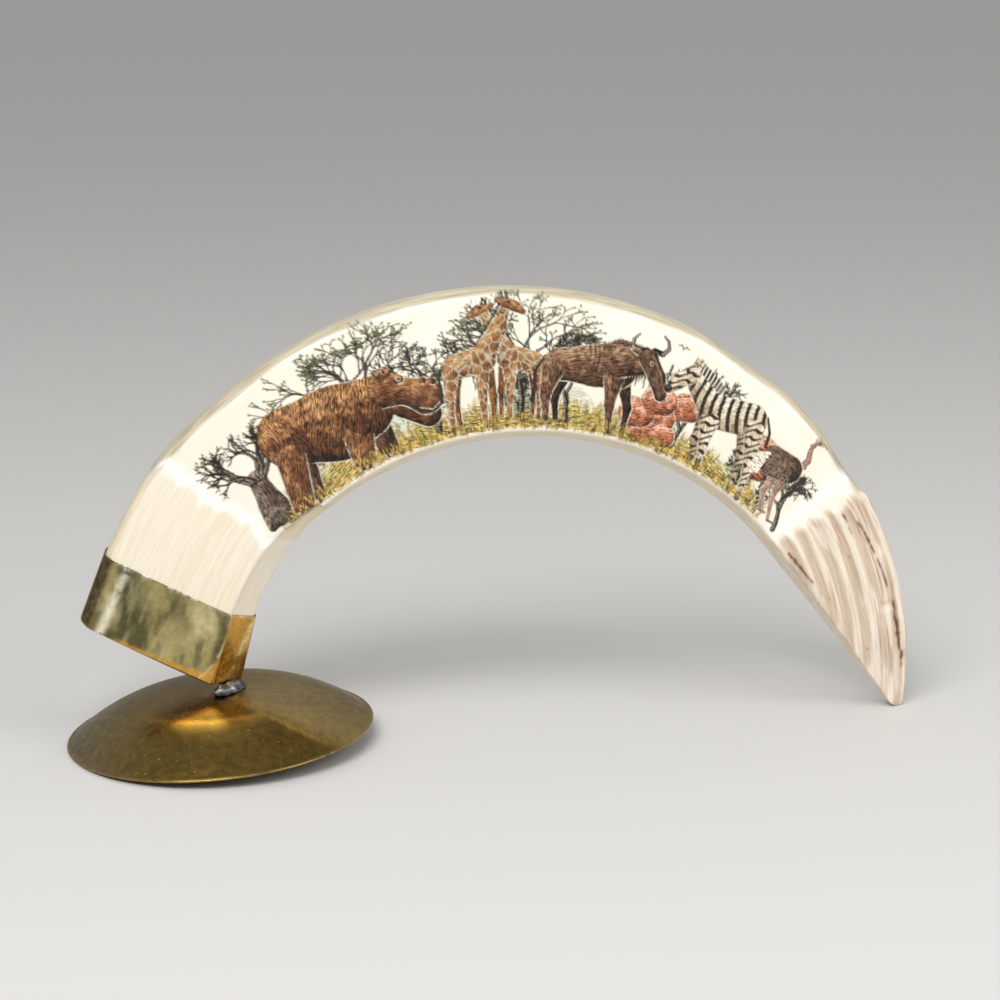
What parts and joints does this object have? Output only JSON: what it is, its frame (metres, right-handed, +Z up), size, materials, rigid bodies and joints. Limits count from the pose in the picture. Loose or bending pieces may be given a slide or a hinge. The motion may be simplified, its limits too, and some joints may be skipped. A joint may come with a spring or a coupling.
{
  "type": "scrimshaw hippo tooth",
  "caption": "Curved, polished hippo tusk with a painted savannah scene on one side, its root in a brass collar soldered to a dished brass foot.",
  "frame": {"origin": "middle of the underside's box, on the surface that the foot's left rim and the tooth's tip rest on", "axes": "+X from the root to the tip in the plane of the tooth, +Z up, the painted face looks along -Y"},
  "size_m": [0.3541, 0.126, 0.1848],
  "materials": {
    "ivory": "gloss",
    "collar_brass": "polished",
    "foot_brass": "satin",
    "tin_solder": "satin"
  },
  "bodies": {
    "root": {"tooth": "ivory", "brass_collar": "collar_brass", "brass_foot": "foot_brass", "solder_bead": "tin_solder"}
  },
  "joints": []
}
